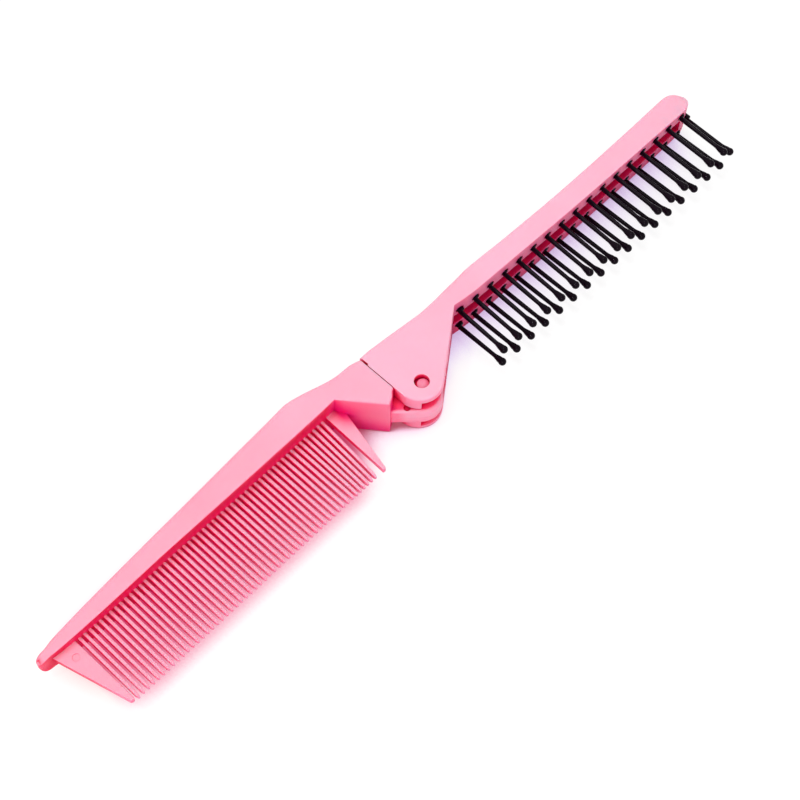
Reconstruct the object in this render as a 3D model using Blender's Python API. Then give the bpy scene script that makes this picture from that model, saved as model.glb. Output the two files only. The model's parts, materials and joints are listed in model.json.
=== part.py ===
"""Folding travel brush: a fine-tooth comb half and a ball-pin brush half on one hinge pin.

Metres, +Z up. The part lies flat and open. It is drawn about the hinge axis, with X along its
length toward the brush tip and +Y toward the spines. The origin is below the middle of its box.
"""
import math

import bmesh
import bpy
from mathutils import Euler, Matrix, Vector

# Whole part
COMB_REACH = 0.105  # hinge axis to the comb's nose
BRUSH_REACH = 0.108  # hinge axis to the brush's tip
HALF_THICKNESS = 0.007
BACK_HEIGHT = 0.01475  # the spines' back above the hinge axis, at the seam
SEAM_SETBACK = 0.0058  # hinge axis to the comb block's end face
SEAM_GAP = 0.0003
SEAM_ROUND_DROP = 0.0005  # the comb's back bends down to the seam
SEAM_ROUND_LENGTH = 0.0025
OVERRUN = 0.001  # how far a cutter runs past what it cuts
EMBED = 0.001  # how far a joined shape reaches into its neighbour

# Comb spine
CREST_RISE = 0.00395  # the crest above the back at the seam
SPINE_WIDTH = 0.0074  # where the comb is at full thickness
BACK_FILLET = 0.0012
FRONT_FILLET = 0.0005
NOSE_LENGTH = 0.003  # the rounded end of the comb
NOSE_CORNER_SHARE = 0.3  # thickness kept at its very end
NOSE_BLUNTNESS_SHARE = 3.2  # 2 is an oval, more is squarer
CREST_SHARES = (
    (0.0, 0.0), (0.067, 0.07), (0.086, 0.13), (0.114, 0.165), (0.133, 0.24), (0.162, 0.44),
    (0.181, 0.6), (0.21, 0.81), (0.238, 0.97), (0.25, 1.0), (0.267, 0.975), (0.295, 0.92),
    (0.39, 0.81), (0.543, 0.645), (0.667, 0.53), (0.829, 0.37), (0.914, 0.28), (0.943, 0.24),
    (0.971, 0.14), (1.0, 0.0),
)
WIDTH_SHARES = (
    (0.0, 0.7), (0.162, 0.74), (0.181, 0.82), (0.21, 0.94), (0.25, 1.04), (0.295, 1.0),
    (0.39, 0.93), (0.543, 0.8), (0.667, 0.7), (0.829, 0.59), (0.943, 0.445), (0.98, 0.31), (1.0, 0.27),
)
COMB_HALF_SHARES = (
    (0.0, 1.0), (0.295, 1.0), (0.571, 0.87), (0.829, 0.69), (0.943, 0.53), (0.98, 0.44), (1.0, 0.4),
)
DRAFT_SHARE = 0.086  # how far the wall leans in toward the middle, per height
BLOCK_DRAFT_SHARE = -0.03  # the block's sides stand out toward the middle instead
ROUND_END_SHARES = (0.3, 0.55, 0.78, 0.92)  # quarter turns of the rings of a rounded end

# Comb block beside the hinge
BLOCK_LEFT = 0.0171
BLOCK_FOOT_X = 0.0092
BLOCK_FOOT_Y = 0.0013
BLOCK_SEAM_Y = 0.0036  # foot of the block's end face
BLOCK_HEEL_SHARES = ((0.56, 0.48), (0.82, 0.87))

# Comb plate: guards and teeth
PLATE_HALF = 0.0009
TOOTH_TIP_Y = 0.0072  # below the hinge axis, beside the hinge guard
NOSE_TOOTH_RISE = 0.0005  # how much less far the teeth reach beside the nose guard
TOOTH_PITCH = 0.001442
TOOTH_WIDTH = 0.001
TOOTH_TIP_WIDTH = 0.0008
TOOTH_HALF = 0.001
TOOTH_TIP_HALF = 0.0009
TOOTH_SHARES = ((0.0, 0.0, 1.0), (0.5, 0.4, 1.0), (0.96, 0.95, 1.0), (1.0, 1.0, 0.45))
TOOTH_RIDGE_SHARE = 0.6  # width of a tooth's ridge, per its width
FAN_TEETH = 6  # teeth that lean away from the hinge guard
FAN_REACH = 0.0014  # how far the tip of the last of them leans
NOSE_GUARD_SETBACK = 0.0029  # the comb's nose to the guard's outer edge
NOSE_GUARD_WIDTH = 0.00635
NOSE_GUARD_TIP_Y = 0.0063
NOSE_GUARD_TIP_WIDTH = 0.001
NOSE_GUARD_LEAN = 0.0002
NOSE_GUARD_GAP = 0.00055  # guard to the tooth beside it, at the root
HINGE_GUARD_INNER = 0.0198
HINGE_GUARD_WIDTH = 0.0043
HINGE_GUARD_TIP_Y = 0.0073
HINGE_GUARD_TIP_WIDTH = 0.00085
HINGE_GUARD_LEAN = 0.0005
HINGE_GUARD_GAP = 0.0009
HINGE_GUARD_SHOULDER = 0.0013  # below the wall

# Hinge
HUB_RADIUS = 0.0052
HUB_SHIFT_X = 0.0006
HUB_SHIFT_Y = 0.0004
TONGUE_HALF = 0.00266
TONGUE_ROUND = 0.001
TONGUE_GAP = 0.0003  # tongue to the ears' inner faces
TONGUE_INSET = 0.0001  # start of the neck inside the block's foot
BORE_RADIUS = 0.00185
HINGE_PIN_GAP = 0.00025
HINGE_PIN_RECESS = 0.0013
HINGE_PIN_CHAMFER = 0.0003
DETENT_RADIUS = 0.00085
DETENT_DEPTH = 0.0008
DETENT_X = 0.00564
DETENT_Y = 0.00077
EAR_RADIUS = 0.0057
EAR_SHIFT_X = 0.0001
EAR_SHIFT_Y = 0.0012
EAR_SKIN = 0.00145
BOSS_RADIUS = 0.0036
SWING_GAP = 0.00035  # hub to the fork slot's round floor
POCKET_STEP = 0.0004  # slot wall to pocket wall
POCKET_START_SHARE = 0.62  # where the pocket begins, in turns from the tongue's +X side

# Brush body
NECK_CORNER_X = 0.0202  # corner where the neck meets the pin face
NECK_CORNER_Y = 0.0084
FACE_DROP = 0.00235
TIP_LENGTH = 0.0055
TIP_CORNER_SHARE = 0.6
TIP_BLUNTNESS_SHARE = 2.0
BRUSH_BACK_DROP = 0.0023
BRUSH_BACK_SHARES = (
    (-0.051, 0.0), (-0.028, 0.0), (0.0, 0.11), (0.028, 0.24), (0.056, 0.39), (0.102, 0.63), (0.13, 0.74),
    (0.157, 0.74), (0.213, 0.63), (0.241, 0.58), (0.278, 0.48), (0.315, 0.54), (0.389, 0.72), (0.463, 0.83),
    (0.537, 0.93), (0.685, 1.0), (0.833, 0.96), (0.917, 0.87), (0.949, 0.83), (1.0, 0.9),
)
FACE_SHARES = (
    (0.187, 0.0), (0.218, 0.19), (0.255, 0.34), (0.389, 0.53), (0.556, 0.745), (0.694, 0.87),
    (0.833, 0.96), (0.954, 1.0), (1.0, 1.0),
)
BRUSH_HALF_SHARES = (
    (0.0, 1.0), (0.187, 1.0), (0.315, 0.965), (0.583, 0.85), (0.87, 0.765), (0.944, 0.715), (1.0, 0.66),
)
GROOVE_HALF = 0.00195
GROOVE_DEPTH = 0.0016
GROOVE_END = 0.0054  # groove's end to the brush's tip

# Ball pins
PIN_START = 0.02148  # hinge axis to the first pair
PIN_ROW_END = 0.00596  # last pair to the brush's tip
PIN_PAIRS = 17
END_PIN_SETBACK = 0.0028  # end pin to the brush's tip
PIN_ROW_HALF = 0.00345  # rows above and below the mid plane, at the face
PIN_TIP_ROW_HALF = 0.0029
PIN_LENGTH = 0.0144  # face to ball centre
PIN_BALL_RADIUS = 0.001
PIN_DROP_LENGTH = 0.0027  # ball centre to where the stem begins to swell
DROP_SHARES = (
    (1.5, 0.6), (0.85, 0.82), (0.3, 0.97), (-0.2, 0.98), (-0.65, 0.76), (-0.92, 0.39), (-1.0, 0.1),
)
PIN_STEM_RADIUS = 0.0006
PIN_NECK_RADIUS = 0.00052
FOOT_HALF_LENGTH = 0.00115
FOOT_HALF_WIDTH = 0.00085
FOOT_OFFSET = 0.00055
FOOT_RISE = 0.0006  # how far the foot stands out of the face
FOOT_EDGE_SHARE = 0.4  # where its rise begins to narrow to the stem
FOOT_DEPTH = 0.002
FOOT_GAP = 0.00025

# Mesh fineness
CORNER_STEPS = 3
BORE_SIDES = 32
HUB_STEPS = 20
EAR_STEPS = 9
PIN_SIDES = 8
FULL_TURN = 2.0 * math.pi
RIGHT_ANGLE = FULL_TURN / 4.0
SMOOTH_ANGLE = FULL_TURN / 12.0
STATION_SPACING = 0.001  # least step between rings taken from two tables
BLOCK_STEPS = 3
FILLET_LIMIT_SHARE = 0.45  # largest fillet, per wall

PINK = (0.93, 0.43, 0.55, 1.0)
DEEP_PINK = (0.9, 0.36, 0.48, 1.0)
BLACK = (0.012, 0.01, 0.013, 1.0)


def interpolate(table, share):
    """Value at a share of the way, straight between the table's points."""
    if share <= table[0][0]:
        return table[0][1]
    for (s0, v0), (s1, v1) in zip(table, table[1:]):
        if share <= s1:
            return v0 + (v1 - v0) * (share - s0) / (s1 - s0)
    return table[-1][1]


def comb_back(x):
    near = max(1.0 + (x + SEAM_SETBACK) / SEAM_ROUND_LENGTH, 0.0)
    crest = CREST_RISE * interpolate(CREST_SHARES, -x / COMB_REACH)
    return BACK_HEIGHT + crest - SEAM_ROUND_DROP * near * near


def comb_half_thickness(x):
    return HALF_THICKNESS * interpolate(COMB_HALF_SHARES, -x / COMB_REACH)


def comb_wall(x):
    return comb_back(x) - SPINE_WIDTH * interpolate(WIDTH_SHARES, -x / COMB_REACH)


def block_outline():
    """Lower edge of the comb block, from the wall to the seam."""
    points = [(-BLOCK_LEFT, comb_wall(-BLOCK_LEFT)), (-BLOCK_FOOT_X, BLOCK_FOOT_Y)]
    for along, up in BLOCK_HEEL_SHARES:
        x = -BLOCK_FOOT_X + along * (BLOCK_FOOT_X - SEAM_SETBACK)
        points.append((x, BLOCK_FOOT_Y + up * (BLOCK_SEAM_Y - BLOCK_FOOT_Y)))
    points.append((-SEAM_SETBACK, BLOCK_SEAM_Y))
    return points


def brush_back(x):
    return BACK_HEIGHT - BRUSH_BACK_DROP * interpolate(BRUSH_BACK_SHARES, x / BRUSH_REACH)


def brush_half_thickness(x):
    return HALF_THICKNESS * interpolate(BRUSH_HALF_SHARES, x / BRUSH_REACH)


def face_height(x):
    return NECK_CORNER_Y - FACE_DROP * interpolate(FACE_SHARES, x / BRUSH_REACH)


def ear_tangent():
    """Point where the neck's straight edge leaves the ear circle, and that edge's angle."""
    dx = NECK_CORNER_X - EAR_SHIFT_X
    dy = NECK_CORNER_Y - EAR_SHIFT_Y
    reach = math.hypot(dx, dy)
    angle = math.atan2(dy, dx) + math.asin(EAR_RADIUS / reach)
    x = EAR_SHIFT_X + EAR_RADIUS * math.sin(angle)
    return x, EAR_SHIFT_Y - EAR_RADIUS * math.cos(angle), angle


def ear_floor(x):
    """Lower edge of the ears and the neck."""
    tangent_x, tangent_y, angle = ear_tangent()
    if x >= tangent_x:
        return tangent_y + (x - tangent_x) * math.tan(angle)
    side = x - EAR_SHIFT_X
    return EAR_SHIFT_Y - math.sqrt(max(EAR_RADIUS ** 2 - side ** 2, 0.0))


def section_ring(x, front, back, half, front_fillet, back_fillet, draft):
    """Rounded rectangle across the body at x. A draft bends the front wall at mid height."""
    limit = FILLET_LIMIT_SHARE * min(back - front, half + half)
    front_fillet = min(front_fillet, limit)
    back_fillet = min(back_fillet, limit)
    corners = (
        (back - back_fillet, half - back_fillet, back_fillet),
        (front + front_fillet, half - front_fillet, front_fillet),
        (front + front_fillet, front_fillet - half, front_fillet),
        (back - back_fillet, back_fillet - half, back_fillet),
    )
    ring = []
    for quarter, (y, z, radius) in enumerate(corners):
        if quarter == 2 and draft is not None:
            ring.append((x, front + draft, 0.0))
        for step in range(CORNER_STEPS + 1):
            angle = RIGHT_ANGLE * (quarter + step / CORNER_STEPS)
            ring.append((x, y + radius * math.cos(angle), z + radius * math.sin(angle)))
    return ring


def rounded_end_rings(x, direction, length, front, back, half, fillets, draft_share, shape):
    """Rings that close a body in a rounded end. Its shape is a corner share and a bluntness."""
    rings = []
    corner_share, bluntness = shape
    middle = (front + back) / 2.0
    for share in ROUND_END_SHARES:
        angle = RIGHT_ANGLE * share
        reach = (back - front) / 2.0 * (1.0 - math.sin(angle) ** bluntness) ** (1.0 / bluntness)
        end_half = half * (corner_share + (1.0 - corner_share) * math.cos(angle))
        at = x + direction * length * math.sin(angle)
        if share == ROUND_END_SHARES[-1]:
            at = x + direction * length
        draft = None if draft_share is None else draft_share * reach
        rings.append(section_ring(at, middle - reach, middle + reach, end_half, *fillets, draft))
    return rings


def link(name, bm, parent, material=None):
    """Mesh object from a bmesh, with its faces pointing out."""
    bmesh.ops.recalc_face_normals(bm, faces=bm.faces)
    mesh = bpy.data.meshes.new(name)
    bm.to_mesh(mesh)
    bm.free()
    mesh.shade_smooth()
    mesh.set_sharp_from_angle(angle=SMOOTH_ANGLE)
    item = bpy.data.objects.new(name, mesh)
    bpy.context.collection.objects.link(item)
    item.parent = parent
    if material:
        mesh.materials.append(material)
    return item


def helper(name, bm, parent):
    """Hidden shape that another object is joined with or cut by."""
    item = link(name, bm, parent)
    item.hide_render = True
    item.display_type = "WIRE"
    return item


def add_loft(bm, rings):
    """Closed skin through rings of equal count."""
    rows = [[bm.verts.new(point) for point in ring] for ring in rings]
    count = len(rows[0])
    for low, high in zip(rows, rows[1:]):
        for i in range(count):
            j = (i + 1) % count
            bm.faces.new((low[i], low[j], high[j], high[i]))
    bm.faces.new(reversed(rows[0]))
    bm.faces.new(rows[-1])


def add_prism(bm, outline, low, high):
    add_loft(bm, [[(x, y, z) for x, y in outline] for z in (low, high)])


def combine(item, other, operation):
    step = item.modifiers.new(other.name, "BOOLEAN")
    step.object = other
    step.operation = operation
    step.solver = "EXACT"


def plastic(name, colour, roughness):
    material = bpy.data.materials.new(name)
    material.use_nodes = True
    shader = material.node_tree.nodes["Principled BSDF"]
    shader.inputs["Base Color"].default_value = colour
    shader.inputs["Roughness"].default_value = roughness
    shader.inputs["Metallic"].default_value = 0.0
    return material


def comb_spine():
    """Spine and block of the comb, lofted from nose to seam."""
    bm = bmesh.new()
    fillets = (FRONT_FILLET, BACK_FILLET)
    nose = -(COMB_REACH - NOSE_LENGTH)
    half = comb_half_thickness(nose)
    rings = rounded_end_rings(
        nose, -1.0, NOSE_LENGTH, comb_wall(nose), comb_back(nose), half, fillets, DRAFT_SHARE,
        (NOSE_CORNER_SHARE, NOSE_BLUNTNESS_SHARE),
    )[::-1]
    places = {-share * COMB_REACH for share, _ in CREST_SHARES}
    places |= {-share * COMB_REACH for share, _ in WIDTH_SHARES}
    places = {x for x in places if nose + STATION_SPACING < x < -BLOCK_LEFT - STATION_SPACING}
    for x in sorted(places | {nose, -BLOCK_LEFT}):
        half = comb_half_thickness(x)
        rings.append(section_ring(x, comb_wall(x), comb_back(x), half, *fillets, DRAFT_SHARE * half))
    outline = block_outline()
    for (x0, y0), (x1, y1) in zip(outline, outline[1:]):
        steps = BLOCK_STEPS if (x0, y0) == outline[0] else 1
        for step in range(1, steps + 1):
            share = step / steps
            x = x0 + (x1 - x0) * share
            front = y0 + (y1 - y0) * share
            half = comb_half_thickness(x)
            rings.append(section_ring(x, front, comb_back(x), half, *fillets, BLOCK_DRAFT_SHARE * half))
    add_loft(bm, rings)
    return bm


def root_height(x):
    """Height to which a tooth or guard reaches into the spine."""
    return comb_wall(x) + DRAFT_SHARE * comb_half_thickness(x) + EMBED


def add_tooth(bm, x, tip_y, lean):
    root = root_height(x)
    rings = []
    for along, taper, size in TOOTH_SHARES:
        y = root + (tip_y - root) * along
        middle = x - lean * along
        width = (TOOTH_WIDTH + (TOOTH_TIP_WIDTH - TOOTH_WIDTH) * taper) * size / 2.0
        half = (TOOTH_HALF + (TOOTH_TIP_HALF - TOOTH_HALF) * taper) * size
        ridge = width * TOOTH_RIDGE_SHARE
        upper = [(width, 0.0), (ridge, half), (-ridge, half)]
        outline = upper + [(-side, -z) for side, z in upper]
        rings.append([(middle + side, y, z) for side, z in outline])
    add_loft(bm, rings)


def nose_guard():
    """Outline of the guard beside the nose, and its inner edge at the root."""
    outer = -(COMB_REACH - NOSE_GUARD_SETBACK)
    inner = outer + NOSE_GUARD_WIDTH
    tip_inner = inner + NOSE_GUARD_LEAN
    outline = [
        (outer, root_height(outer)),
        (tip_inner - NOSE_GUARD_TIP_WIDTH, -NOSE_GUARD_TIP_Y),
        (tip_inner, -NOSE_GUARD_TIP_Y),
        (inner, root_height(inner)),
    ]
    return outline, inner


def hinge_guard():
    """Outline of the guard beside the block, and its inner edge at the root."""
    inner = -HINGE_GUARD_INNER
    tip_inner = inner - HINGE_GUARD_LEAN
    tip_outer = tip_inner + HINGE_GUARD_TIP_WIDTH
    outer = inner + HINGE_GUARD_WIDTH
    shoulder = comb_wall(-BLOCK_LEFT) - HINGE_GUARD_SHOULDER
    outline = [
        (inner, root_height(inner)),
        (tip_inner, -HINGE_GUARD_TIP_Y),
        (tip_outer, -HINGE_GUARD_TIP_Y),
        (outer, shoulder),
        (outer, shoulder + EMBED),
        (-BLOCK_LEFT, root_height(-BLOCK_LEFT)),
    ]
    return outline, inner


def add_plate(bm):
    """Guards and teeth, which stand side by side."""
    left, left_edge = nose_guard()
    right, right_edge = hinge_guard()
    add_prism(bm, left, -PLATE_HALF, PLATE_HALF)
    add_prism(bm, right, -PLATE_HALF, PLATE_HALF)
    first = left_edge + NOSE_GUARD_GAP + TOOTH_WIDTH / 2.0
    last = right_edge - HINGE_GUARD_GAP - TOOTH_WIDTH / 2.0
    steps = max(round((last - first) / TOOTH_PITCH), 1)
    for i in range(steps + 1):
        tip_y = NOSE_TOOTH_RISE * (1.0 - i / steps) - TOOTH_TIP_Y
        lean = FAN_REACH * max(1.0 - (steps - i) / FAN_TEETH, 0.0)
        add_tooth(bm, first + (last - first) * i / steps, tip_y, lean)


def neck_edge():
    """Start of the tongue's lower edge in the block's foot, and that edge's angle below -X."""
    x = -(BLOCK_FOOT_X - TONGUE_INSET)
    y = BLOCK_FOOT_Y + TONGUE_INSET
    dx = -HUB_SHIFT_X - x
    dy = -HUB_SHIFT_Y - y
    return x, y, math.asin(HUB_RADIUS / math.hypot(dx, dy)) - math.atan2(dy, dx)


def tongue_outline(inset):
    x, y, angle = neck_edge()
    radius = HUB_RADIUS - inset
    across = Vector((math.sin(angle), math.cos(angle)))
    back_up = Vector((-math.cos(angle), math.sin(angle)))
    start = Vector((x, y)) + across * inset + back_up * (EMBED + TONGUE_INSET)
    outline = [tuple(start)]
    for step in range(HUB_STEPS + 1):
        at = -RIGHT_ANGLE - angle + (2.0 * RIGHT_ANGLE + angle) * step / HUB_STEPS
        outline.append((radius * math.cos(at) - HUB_SHIFT_X, radius * math.sin(at) - HUB_SHIFT_Y))
    outline.append((start.x, radius - HUB_SHIFT_Y))
    return outline


def add_tongue(bm):
    """Hinge tongue with rounded edges."""
    rings = []
    levels = []
    for step in range(CORNER_STEPS + 1):
        angle = RIGHT_ANGLE * step / CORNER_STEPS
        inset = TONGUE_ROUND * (1.0 - math.sin(angle))
        levels.append((TONGUE_HALF - TONGUE_ROUND + TONGUE_ROUND * math.cos(angle), inset))
    for z, inset in [(-z, inset) for z, inset in levels] + levels[::-1]:
        rings.append([(x, y, z) for x, y in tongue_outline(inset)])
    add_loft(bm, rings)


def plate_and_tongue():
    bm = bmesh.new()
    add_plate(bm)
    add_tongue(bm)
    return bm


def circle(radius, sides, x=0.0, y=0.0):
    return [
        (x + radius * math.cos(FULL_TURN * i / sides), y + radius * math.sin(FULL_TURN * i / sides))
        for i in range(sides)
    ]


def oval(half_length, half_width, sides, x):
    turns = [FULL_TURN * i / sides for i in range(sides)]
    return [(x + half_length * math.cos(turn), half_width * math.sin(turn)) for turn in turns]


def add_bore(bm):
    reach = HALF_THICKNESS + OVERRUN
    add_prism(bm, circle(BORE_RADIUS, BORE_SIDES), -reach, reach)


def ear_bore():
    bm = bmesh.new()
    add_bore(bm)
    return bm


def tongue_holes():
    """Bore, and a round dimple in the tongue's upper face."""
    bm = bmesh.new()
    add_bore(bm)
    outline = circle(DETENT_RADIUS, PIN_SIDES * 2, -DETENT_X, -DETENT_Y)
    add_prism(bm, outline, TONGUE_HALF - DETENT_DEPTH, TONGUE_HALF + OVERRUN)
    return bm


def brush_body():
    """Ears, neck and body of the brush, lofted from seam to tip."""
    bm = bmesh.new()
    fillets = (FRONT_FILLET, BACK_FILLET)
    seam = SEAM_GAP - SEAM_SETBACK
    tangent_x = ear_tangent()[0]
    rings = []
    start = math.acos(max((seam - EAR_SHIFT_X) / EAR_RADIUS, -1.0))
    end = math.acos((tangent_x - EAR_SHIFT_X) / EAR_RADIUS)
    turns = [start + (end - start) * step / EAR_STEPS for step in range(EAR_STEPS + 1)]
    ear_places = [EAR_SHIFT_X + EAR_RADIUS * math.cos(turn) for turn in turns]
    if ear_places[0] > seam + STATION_SPACING:
        ear_places.insert(0, seam)
    for x in ear_places:
        rings.append(section_ring(x, ear_floor(x), brush_back(x), HALF_THICKNESS, *fillets, None))
    tip = BRUSH_REACH - TIP_LENGTH
    places = {share * BRUSH_REACH for share, _ in BRUSH_BACK_SHARES}
    places |= {share * BRUSH_REACH for share, _ in FACE_SHARES}
    places = {x for x in places if tangent_x + STATION_SPACING < x < tip - STATION_SPACING}
    places = {x for x in places if abs(x - NECK_CORNER_X) > STATION_SPACING}
    for x in sorted(places | {NECK_CORNER_X, tip}):
        front = ear_floor(x) if x <= NECK_CORNER_X else face_height(x)
        rings.append(section_ring(x, front, brush_back(x), brush_half_thickness(x), *fillets, None))
    rings += rounded_end_rings(
        tip, 1.0, TIP_LENGTH, face_height(tip), brush_back(tip), brush_half_thickness(tip), fillets,
        None, (TIP_CORNER_SHARE, TIP_BLUNTNESS_SHARE),
    )
    add_loft(bm, rings)
    return bm


def slot_radius():
    return HUB_RADIUS + math.hypot(HUB_SHIFT_X, HUB_SHIFT_Y) + SWING_GAP


def fork_slot():
    """Room between the ears for the tongue, open below and at the seam."""
    bm = bmesh.new()
    radius = slot_radius()
    angle = neck_edge()[2]
    outline = [(SEAM_GAP - SEAM_SETBACK - OVERRUN, radius)]
    for step in range(HUB_STEPS + 1):
        at = RIGHT_ANGLE - angle * step / HUB_STEPS
        outline.append((radius * math.cos(at), radius * math.sin(at)))
    low = EAR_RADIUS + OVERRUN
    drop = radius * math.sin(RIGHT_ANGLE - angle) + low
    outline.append((outline[-1][0] + drop / math.tan(angle), -low))
    outline.append((outline[0][0], -low))
    reach = TONGUE_HALF + TONGUE_GAP
    add_prism(bm, outline, -reach, reach)
    return bm


def ear_pockets():
    """Hollows round the bosses, which leave a thin skin above and below."""
    bm = bmesh.new()
    angle = neck_edge()[2]
    start = FULL_TURN * (POCKET_START_SHARE - 1.0)
    end = RIGHT_ANGLE - angle
    outline = []
    for step in range(HUB_STEPS + 1):
        at = start + (end - start) * step / HUB_STEPS
        outline.append((BOSS_RADIUS * math.cos(at), BOSS_RADIUS * math.sin(at)))
    radius = slot_radius() - POCKET_STEP
    top = Vector((radius * math.cos(end), radius * math.sin(end)))
    outline.append(tuple(top))
    low = EAR_RADIUS + OVERRUN
    drop = top.y + low
    outline.append((top.x + drop / math.tan(angle), -low))
    outline.append((low * math.cos(start) / abs(math.sin(start)), -low))
    reach = HALF_THICKNESS - EAR_SKIN
    add_prism(bm, outline, -reach, reach)
    return bm


def groove():
    """Channel along the pin face, from the fork slot to near the tip."""
    bm = bmesh.new()
    tangent_x, tangent_y, angle = ear_tangent()
    end = BRUSH_REACH - GROOVE_END
    inward = Vector((-math.sin(angle), math.cos(angle))) * GROOVE_DEPTH
    places = [share * BRUSH_REACH for share, _ in FACE_SHARES]
    corner = Vector((NECK_CORNER_X, NECK_CORNER_Y))
    floor = [Vector((tangent_x, tangent_y)) + inward, corner + inward]
    places = [x for x in places if NECK_CORNER_X + STATION_SPACING < x < end - STATION_SPACING]
    floor += [Vector((x, face_height(x) + GROOVE_DEPTH)) for x in places]
    floor.append(Vector((end, face_height(end) + GROOVE_DEPTH)))
    below = -(EAR_RADIUS + OVERRUN)
    outline = [(tangent_x, below)] + [tuple(point) for point in floor] + [(end, below)]
    add_prism(bm, outline, -GROOVE_HALF, GROOVE_HALF)
    return bm


def pin_places():
    """Name, place, lean and toe-in of each ball pin, each at its foot's front."""
    last = BRUSH_REACH - PIN_ROW_END
    pitch = (last - PIN_START) / (PIN_PAIRS - 1)
    second = PIN_START + pitch
    slope = (face_height(last) - face_height(second)) / (last - second)
    lean = math.atan(slope)
    toe = math.asin((PIN_ROW_HALF - PIN_TIP_ROW_HALF) / PIN_LENGTH)
    places = []
    for i in range(PIN_PAIRS):
        x = PIN_START + pitch * i
        y = face_height(second) + slope * (x - second)
        places.append((f"pin_upper_{i + 1:02d}", Vector((x, y, PIN_ROW_HALF)), lean, toe))
        places.append((f"pin_lower_{i + 1:02d}", Vector((x, y, -PIN_ROW_HALF)), lean, -toe))
    x = BRUSH_REACH - END_PIN_SETBACK
    places.append(("pin_end", Vector((x, face_height(second) + slope * (x - second), 0.0)), lean, 0.0))
    return places


def pin_mesh(material):
    """Ball pin along -Y: an oval foot beside a tapering stem, then a drop-shaped ball."""
    bm = bmesh.new()
    foot = oval(FOOT_HALF_LENGTH, FOOT_HALF_WIDTH, PIN_SIDES, FOOT_OFFSET)
    rings = []
    for y in (FOOT_DEPTH, -FOOT_RISE * FOOT_EDGE_SHARE):
        rings.append([(x, y, z) for x, z in foot])
    stations = [(-FOOT_RISE, PIN_STEM_RADIUS), (PIN_DROP_LENGTH - PIN_LENGTH, PIN_NECK_RADIUS)]
    for reach, size in DROP_SHARES:
        stations.append((PIN_BALL_RADIUS * reach - PIN_LENGTH, PIN_BALL_RADIUS * size))
    for y, radius in stations:
        rings.append([(x, y, z) for x, z in circle(radius, PIN_SIDES)])
    add_loft(bm, rings)
    bmesh.ops.recalc_face_normals(bm, faces=bm.faces)
    mesh = bpy.data.meshes.new("ball_pin")
    bm.to_mesh(mesh)
    bm.free()
    mesh.materials.append(material)
    mesh.shade_smooth()
    mesh.set_sharp_from_angle(angle=SMOOTH_ANGLE)
    return mesh


def pin_matrix(place, lean, toe):
    return Matrix.Translation(place) @ Euler((toe, 0.0, lean)).to_matrix().to_4x4()


def pin_sockets():
    """Blind holes for the pins' feet."""
    bm = bmesh.new()
    outline = oval(FOOT_HALF_LENGTH + FOOT_GAP, FOOT_HALF_WIDTH + FOOT_GAP, PIN_SIDES + 2, FOOT_OFFSET)
    for _, place, lean, toe in pin_places():
        matrix = pin_matrix(place, lean, toe)
        rings = []
        for y in (FOOT_DEPTH + FOOT_GAP, -OVERRUN):
            rings.append([matrix @ Vector((x, y, z)) for x, z in outline])
        add_loft(bm, rings)
    return bm


def hinge_pin():
    bm = bmesh.new()
    radius = BORE_RADIUS - HINGE_PIN_GAP
    reach = HALF_THICKNESS - HINGE_PIN_RECESS
    stations = (
        (-reach, radius - HINGE_PIN_CHAMFER),
        (HINGE_PIN_CHAMFER - reach, radius),
        (reach - HINGE_PIN_CHAMFER, radius),
        (reach, radius - HINGE_PIN_CHAMFER),
    )
    add_loft(bm, [[(x, y, z) for x, y in circle(size, BORE_SIDES)] for z, size in stations])
    return bm


def pivot(name, y):
    """Empty on the hinge axis, at mid height."""
    item = bpy.data.objects.new(name, None)
    bpy.context.collection.objects.link(item)
    item.location = ((COMB_REACH - BRUSH_REACH) / 2.0, y, HALF_THICKNESS)
    return item


def hinge_y():
    """Hinge axis from the middle of the box, between the crest and the end pin's ball."""
    _, place, lean, _ = pin_places()[-1]
    lowest = place.y - (PIN_LENGTH + PIN_BALL_RADIUS) * math.cos(lean)
    return -(BACK_HEIGHT + CREST_RISE + lowest) / 2.0


def main():
    for item in list(bpy.data.objects):
        bpy.data.objects.remove(item, do_unlink=True)
    pink = plastic("pink_moulding", PINK, 0.4)
    deep_pink = plastic("hinge_pin_pink", DEEP_PINK, 0.45)
    black = plastic("black_pin", BLACK, 0.2)
    y = hinge_y()
    comb_pivot = pivot("comb_half_pivot", y)
    brush_pivot = pivot("brush_half_pivot", y)

    comb = link("comb_frame", comb_spine(), comb_pivot, pink)
    combine(comb, helper("plate_and_tongue_shape", plate_and_tongue(), comb_pivot), "UNION")
    combine(comb, helper("tongue_hole_cutter", tongue_holes(), comb_pivot), "DIFFERENCE")

    brush = link("brush_frame", brush_body(), brush_pivot, pink)
    combine(brush, helper("slot_cutter", fork_slot(), brush_pivot), "DIFFERENCE")
    combine(brush, helper("pocket_cutter", ear_pockets(), brush_pivot), "DIFFERENCE")
    combine(brush, helper("groove_cutter", groove(), brush_pivot), "DIFFERENCE")
    combine(brush, helper("socket_cutter", pin_sockets(), brush_pivot), "DIFFERENCE")
    combine(brush, helper("ear_bore_cutter", ear_bore(), brush_pivot), "DIFFERENCE")

    link("hinge_pin", hinge_pin(), brush_pivot, deep_pink)
    mesh = pin_mesh(black)
    for name, place, lean, toe in pin_places():
        item = bpy.data.objects.new(name, mesh)
        bpy.context.collection.objects.link(item)
        item.parent = brush_pivot
        item.location = place
        item.rotation_euler = (toe, 0.0, lean)


main()
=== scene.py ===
import json
import math

import bmesh
import bpy
from mathutils import Euler, Matrix, Vector


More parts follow.
